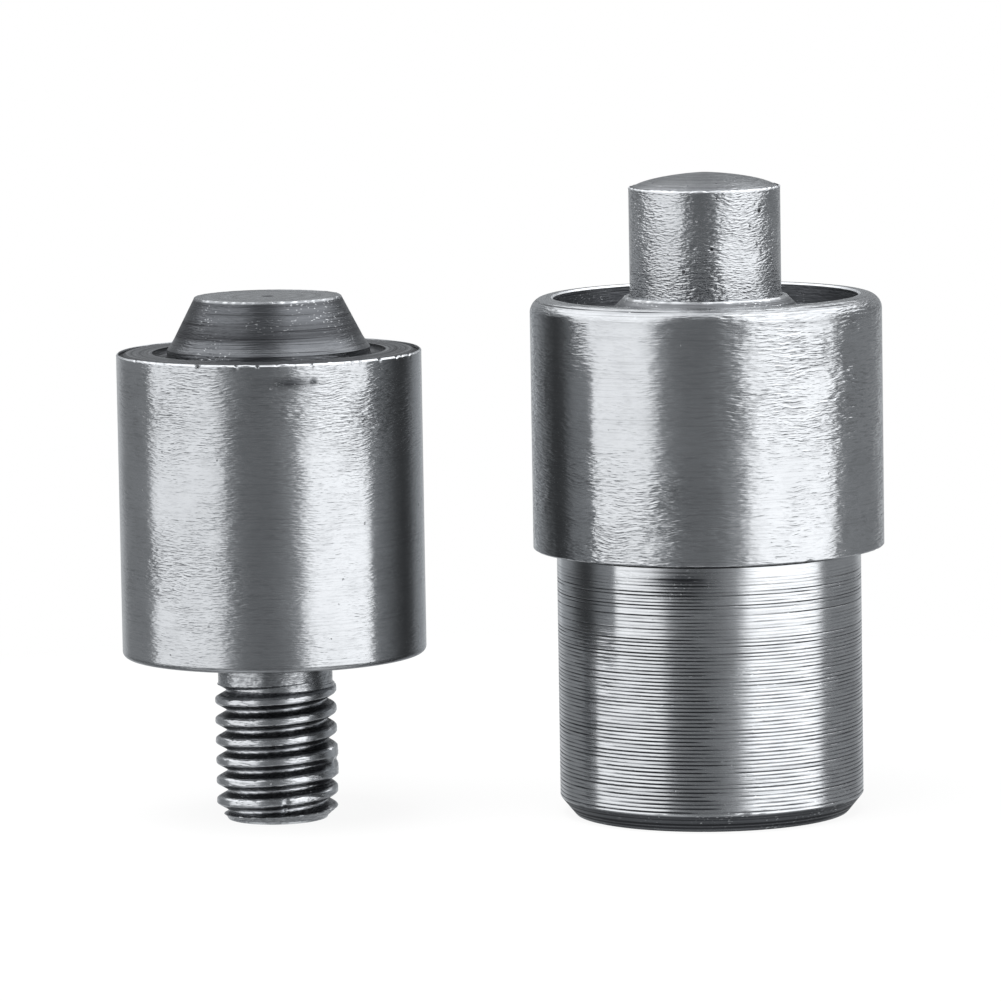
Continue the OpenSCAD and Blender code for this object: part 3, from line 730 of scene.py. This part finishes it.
def wire(name, path, wire_r, sides):
    """A round wire along a path about the lower die's axis. Each point of the path is the wire's middle,
    its ring of points lies in the plane through the axis, and its ends are closed by shrinking domes."""
    ends = np.sin(np.linspace(0.12, 1, END_STEPS) * np.pi / 2)
    share = np.ones(len(path))
    share[:END_STEPS], share[-END_STEPS:] = ends, ends[::-1]
    side = circle(sides)[None, :, None]
    out = path * (1, 1, 0)
    out /= np.linalg.norm(out, axis=1)[:, None]
    round_wire = np.cos(side) * out[:, None] + np.sin(side) * np.array([0, 0, 1])
    rings = path[:, None] + wire_r * share[:, None, None] * round_wire
    points = np.concatenate([path[:1], rings.reshape(-1, 3), path[-1:]]) + np.array([BASE_X, 0, 0])
    index = 1 + np.arange(len(path) * sides).reshape(len(path), sides)
    length = np.concatenate([[0], np.linalg.norm(np.diff(path, axis=0), axis=1).cumsum()])
    return build(name, points, join([np.array([0]), *index, np.array([len(points) - 1])]), {
        "along": np.concatenate([[0], np.repeat(length, sides), length[-1:]]),
        "dull": np.full(len(points), WIRE_DULL),
        "torn": np.full(len(points), WIRE_TORN)})


RING_GAP = 32
RING_STEPS = 150
ring_turn = np.radians(np.linspace(RING_GAP / 2, 360 - RING_GAP / 2, RING_STEPS))
ring_path = np.stack([RING_R * np.cos(ring_turn), RING_R * np.sin(ring_turn),
                      np.full(RING_STEPS, RING_Z)], 1)
snap_ring = wire("snap_ring_wire", ring_path, RING_WIRE_R, 20)
snap_ring.data.materials.append(steel("ring_steel", BASE_X, (0.3, 0.31, 0.33), 0.3))
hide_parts("pin_snap_ring")
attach(snap_ring, "pin")

# Washer.
# Stamped from sheet, so its upper edges are drawn in round and its lower edges are sharp. It carries the
# spring's push to the snap ring.
WASHER_R, WASHER_Z, WASHER_TOP = node_sizes("spring_washer")[1:]
WASHER_IN = PIN_R + 0.05
OUTER_DRAW = 0.2
INNER_DRAW = 0.15
WASHER_COLUMNS = 120
washer = band([
    (line((WASHER_IN, WASHER_Z), (WASHER_R, WASHER_Z), 8), 0.3),
    (line((WASHER_R, WASHER_Z), (WASHER_R, WASHER_TOP - OUTER_DRAW), 4), 0.5),
    (bow((WASHER_R - OUTER_DRAW, WASHER_TOP - OUTER_DRAW), OUTER_DRAW, 0, 90, 6), 0.2),
    (line((WASHER_R - OUTER_DRAW, WASHER_TOP), (WASHER_IN + INNER_DRAW, WASHER_TOP), 8), 0.3),
    (bow((WASHER_IN + INNER_DRAW, WASHER_TOP - INNER_DRAW), INNER_DRAW, 90, 180, 6), 0.2),
    (line((WASHER_IN, WASHER_TOP - INNER_DRAW), (WASHER_IN, WASHER_Z), 4), 0.5),
], WASHER_COLUMNS)
spring_washer = skin("spring_washer_stamped", [washer], BASE_X, lambda angle, height: 0.3)
spring_washer.data.materials.append(steel("washer_steel", BASE_X, (0.48, 0.49, 0.5), 0.28))
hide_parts("spring_washer")
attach(spring_washer, "pin")

# Spring.
# Compression spring of oiled music wire, wound closer at both ends. It is shown with the pin up.
SPRING_WIRE_R = 0.4
SPRING_R = node_sizes("pin_spring")[1] - SPRING_WIRE_R
SPRING_Z, SPRING_TOP = node_sizes("pin_spring")[2:]
SPRING_TURNS = 6
STEPS_A_TURN = 56
END_RISE = 1.26
turns = np.linspace(0, SPRING_TURNS, SPRING_TURNS * STEPS_A_TURN + 1)
rise = SPRING_TOP - SPRING_Z - 2 * SPRING_WIRE_R
height = np.interp(turns, [0, 1, SPRING_TURNS - 1, SPRING_TURNS],
                   [0, END_RISE, rise - END_RISE, rise]) + SPRING_Z + SPRING_WIRE_R
coil = np.stack([SPRING_R * np.cos(2 * np.pi * turns), SPRING_R * np.sin(2 * np.pi * turns), height], 1)
pin_spring = wire("pin_spring_coil", coil, SPRING_WIRE_R, 16)
pin_spring.data.materials.append(steel("spring_steel", BASE_X, (0.38, 0.39, 0.41), 0.25))
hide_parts("pin_spring")
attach(pin_spring, "lower_base")
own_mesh(pin_spring)

# Screw plug.
# A blackened M12 plug with a screwdriver slot, turned in from below against its seat. It closes the
# chamber and carries the spring. The CAD node has its true shape and is kept.
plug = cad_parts["screw_plug"]
plug.data.materials.clear()
plug.data.materials.append(steel("plug_steel", BASE_X, (0.26, 0.26, 0.28), 0.24, lines=2.0, pits=0.8,
                                 from_axis=True))

# Studio.
# A tent of soft light round the dies, seen only in their steel: two tall soft boxes in front at the left
# and right, a dim gap between them, a lit ground and top, and a grey back.
TENT_R = 1200
TENT_COLUMNS = 180
TENT_ROWS = 91
TENT_REACH = 88
LEFT_BOX = 1.18
RIGHT_BOX = 1.5
# An angle past any direction, for a window that stays open at one end
PAST_ALL = 400
COOL = (0.91, 0.955, 1, 1)
BRIGHT = (0.97, 0.985, 1, 1)


def window(value, low, high, low_edge, high_edge):
    """1 between low and high and 0 outside, with a smooth edge of its own width at each end."""
    rise_share = np.clip((value - low) / low_edge + 0.5, 0, 1)
    fall_share = np.clip((high - value) / high_edge + 0.5, 0, 1)
    return rise_share ** 2 * (3 - 2 * rise_share) * fall_share ** 2 * (3 - 2 * fall_share)


def tent_light(azimuth, elevation):
    """The tent's strength of light in a direction, in degrees from the camera's side and above level. The
    two boxes reach up to the top of the tent, where they are brighter and lean back over the dies."""
    side = (azimuth + 180) % 360 - 180
    lean = 75 * window(elevation, 26, PAST_ALL, 16, 1)
    inward = 3 * np.clip(elevation + 5.5, 0, 1)
    left_box = LEFT_BOX * window(side, -101 - lean, -36 + inward, 4, 14)
    right_box = RIGHT_BOX * window(side, 25.5 - inward, 90 + lean, 15, 4)
    boxes = (left_box + right_box) * window(elevation, -24, PAST_ALL, 12, 1)
    boxes = boxes * (1 + 0.3 * window(elevation, 24, PAST_ALL, 20, 1))
    ground = (0.3 + 0.35 * (left_box + right_box)) * window(elevation, -PAST_ALL, -42, 1, 16)
    top = 0.7 * window(elevation, 60, PAST_ALL, 22, 1)
    gap = 0.175 + 0.16 * window(side, 12, 60, 26, 40) + 0.12 * window(side, -60, -26, 40, 24)
    gap = gap + 0.08 * window(abs(side), 95, PAST_ALL, 10, 1)
    back = window(abs(side), 150, PAST_ALL, 26, 1)
    under = 0.3 * back * window(elevation, -60, 1, 20, 6)
    over = 0.12 * back * window(elevation, 4, 50, 8, 30)
    return np.maximum.reduce([gap + under + over, boxes, ground, top])


def lit(name, points, faces, glow):
    """A piece of the studio that only the steel sees. Its points keep their strength of light, and its
    material's tree is given with that strength, to be finished."""
    piece = build(name, points.reshape(-1, 3), faces, {"glow": glow.ravel()}, smooth=False)
    piece.visible_camera = False
    piece.visible_diffuse = False
    piece.visible_transmission = False
    piece.visible_shadow = False
    piece.visible_volume_scatter = False
    material, tree = blank(name)
    material.cycles.emission_sampling = "NONE"
    piece.data.materials.append(material)
    return tree, put(tree, "ShaderNodeAttribute", attribute_name="glow").outputs["Fac"]


turn, lift = np.meshgrid(circle(TENT_COLUMNS), np.radians(np.linspace(-TENT_REACH, TENT_REACH, TENT_ROWS)))
tent_points = TENT_R * np.stack([np.cos(turn) * np.cos(lift), np.sin(turn) * np.cos(lift),
                                 np.sin(lift)], -1)
tree, strength = lit("studio_tent", tent_points, join(np.arange(turn.size).reshape(turn.shape)),
                     tent_light(np.degrees(turn) + 90, np.degrees(lift)))
tint = blend(tree, strength, COOL, BRIGHT)
light = put(tree, "ShaderNodeEmission", {"Color": tint, "Strength": strength})
put(tree, "ShaderNodeOutputMaterial", {"Surface": light.outputs[0]})

# Cards.
# Two grey cards stand back to back between the dies, also seen only in their steel. Each keeps the far
# soft box and the other die off the side that it faces.
CARD_STEPS = 48
CARD_ROWS = 24
CARD_END_Y = 8.0
DRAW_BACK = 2.6
DRAW_BACK_OVER = 1.5


def from_front(tree, surface):
    """A shader with that surface on its front, and clear from behind."""
    clear = put(tree, "ShaderNodeBsdfTransparent")
    behind = put(tree, "ShaderNodeNewGeometry").outputs["Backfacing"]
    seen = put(tree, "ShaderNodeMixShader", {0: behind, 1: surface.outputs[0], 2: clear.outputs[0]})
    put(tree, "ShaderNodeOutputMaterial", {"Surface": seen.outputs[0]})


def card(name, x, facing, levels, low_z, high_z, open_z):
    """A card along Y. Its levels are pairs of a y and the strength of light there, from its near edge on,
    which draws back above open_z. It faces +X where facing is 1, and -X where it is -1."""
    height = np.linspace(low_z, high_z, CARD_ROWS)[:, None]
    start = levels[0][0] + DRAW_BACK * np.clip((height - open_z) / DRAW_BACK_OVER, 0, 1)
    y = start + (CARD_END_Y - start) * np.linspace(0, 1, CARD_STEPS)
    points = np.stack([np.full_like(y, x), y, np.broadcast_to(height, y.shape)], -1)
    corners = np.arange(y.size).reshape(y.shape)
    faces = np.stack([corners[:-1, :-1], corners[:-1, 1:], corners[1:, 1:], corners[1:, :-1]], -1)
    faces = faces.reshape(-1, 4)[:, ::facing].tolist()
    tree, strength = lit(name, points, faces, np.interp(y, *zip(*levels)))
    from_front(tree, put(tree, "ShaderNodeEmission", {"Color": COOL, "Strength": strength}))


card("card_left", -1.3, -1,
     [(-6.4, 0.25), (-5.2, 0.23), (-4, 0.16), (-2.8, 0.08), (-1.6, 0.045), (-0.4, 0.08), (1.1, 0.25),
      (3, 0.35), (6, 0.45)], 0.0, 25.6, 25.6)
card("card_right", -0.9, 1,
     [(-7.2, 0.22), (-6, 0.24), (-4.7, 0.2), (-3.4, 0.06), (-2.2, 0.045), (-0.8, 0.1), (0.6, 0.22),
      (2.5, 0.3), (5.6, 0.42), (8, 0.8)], 8.2, 25.9, 22.0)

# Floor.
# A plain white disc that keeps the dies' soft shadow and fades into the white round it. It is seen from
# above only.
FLOOR_R = 70.0
FLOOR_COLUMNS = 96
FLOOR_ROWS = 16
LEAST_WHITE = 0.92
floor_angle = circle(FLOOR_COLUMNS)
floor_radius = np.linspace(1, FLOOR_R, FLOOR_ROWS)[:, None] * np.ones(FLOOR_COLUMNS)
floor_points = np.stack([floor_radius * np.cos(floor_angle), floor_radius * np.sin(floor_angle),
                         np.zeros(floor_radius.shape)], -1).reshape(-1, 3)
floor_index = 1 + np.arange(floor_radius.size).reshape(floor_radius.shape)
floor = build("studio_floor", np.concatenate([np.zeros((1, 3)), floor_points]),
              join([*floor_index[::-1], np.array([0])]), {}, smooth=False)
floor.visible_glossy = False
floor_material, tree = blank("floor_white")
spot = put(tree, "ShaderNodeTexCoord").outputs["Object"]
reach = put(tree, "ShaderNodeVectorMath", {0: spot}, operation="LENGTH").outputs["Value"]
fade = threshold(tree, reach, FLOOR_R * 0.5 * MM, FLOOR_R * 0.95 * MM)
plain = work_out(tree, "MAXIMUM", LEAST_WHITE, fade)
paint = put(tree, "ShaderNodeBsdfDiffuse", {"Color": (0.85, 0.85, 0.85, 1)})
white = put(tree, "ShaderNodeEmission", {"Strength": 1.0})
from_front(tree, put(tree, "ShaderNodeMixShader", {0: plain, 1: paint.outputs[0], 2: white.outputs[0]}))
floor.data.materials.append(floor_material)

# Lamp and world.
# One large soft lamp above gives the floor its shadow. The world is white where the camera or the steel
# sees it, and dimmer as a light.
lamp_data = bpy.data.lights.new("top_softbox", "AREA")
lamp_data.shape = "DISK"
lamp_data.size = 0.5
lamp_data.energy = 5.0
lamp = bpy.data.objects.new("top_softbox", lamp_data)
lamp.location = (-0.1, -0.15, 0.6)
lamp.rotation_euler = (math.radians(14), math.radians(-9), 0)
lamp.visible_glossy = False
bpy.context.scene.collection.objects.link(lamp)

WORLD_LIGHT = 0.6
world = bpy.data.worlds.new("white_room")
bpy.context.scene.world = world
world.use_nodes = True
tree = world.node_tree
tree.nodes.clear()
rays = put(tree, "ShaderNodeLightPath").outputs
mirrored = work_out(tree, "MAXIMUM", rays["Is Glossy Ray"], rays["Is Transmission Ray"])
shown = work_out(tree, "MAXIMUM", rays["Is Camera Ray"], mirrored)
strength = work_out(tree, "ADD", WORLD_LIGHT, work_out(tree, "MULTIPLY", shown, 1 - WORLD_LIGHT))
background = put(tree, "ShaderNodeBackground", {"Color": (1, 1, 1, 1), "Strength": strength})
put(tree, "ShaderNodeOutputWorld", {"Surface": background.outputs[0]})

# Camera.
# A long lens from the front, a little above the dies and turned slightly about its own axis.
camera_data = bpy.data.cameras.new("camera")
camera_data.sensor_width = 36
camera_data.lens = 251.75
camera_data.clip_start = 0.01
camera_data.clip_end = 10
camera = bpy.data.objects.new("camera", camera_data)
bpy.context.scene.collection.objects.link(camera)
camera_place = Matrix.Translation((-0.0003, -0.34258, 0.05547))
look_down, look_right, tilt = math.radians(6.64), math.radians(0.041), math.radians(-0.944)
camera.matrix_world = (camera_place @ Matrix.Rotation(-look_right, 4, "Z")
                       @ Matrix.Rotation(math.pi / 2 - look_down, 4, "X") @ Matrix.Rotation(tilt, 4, "Z"))
bpy.context.scene.camera = camera
bpy.context.scene.view_settings.view_transform = "Standard"
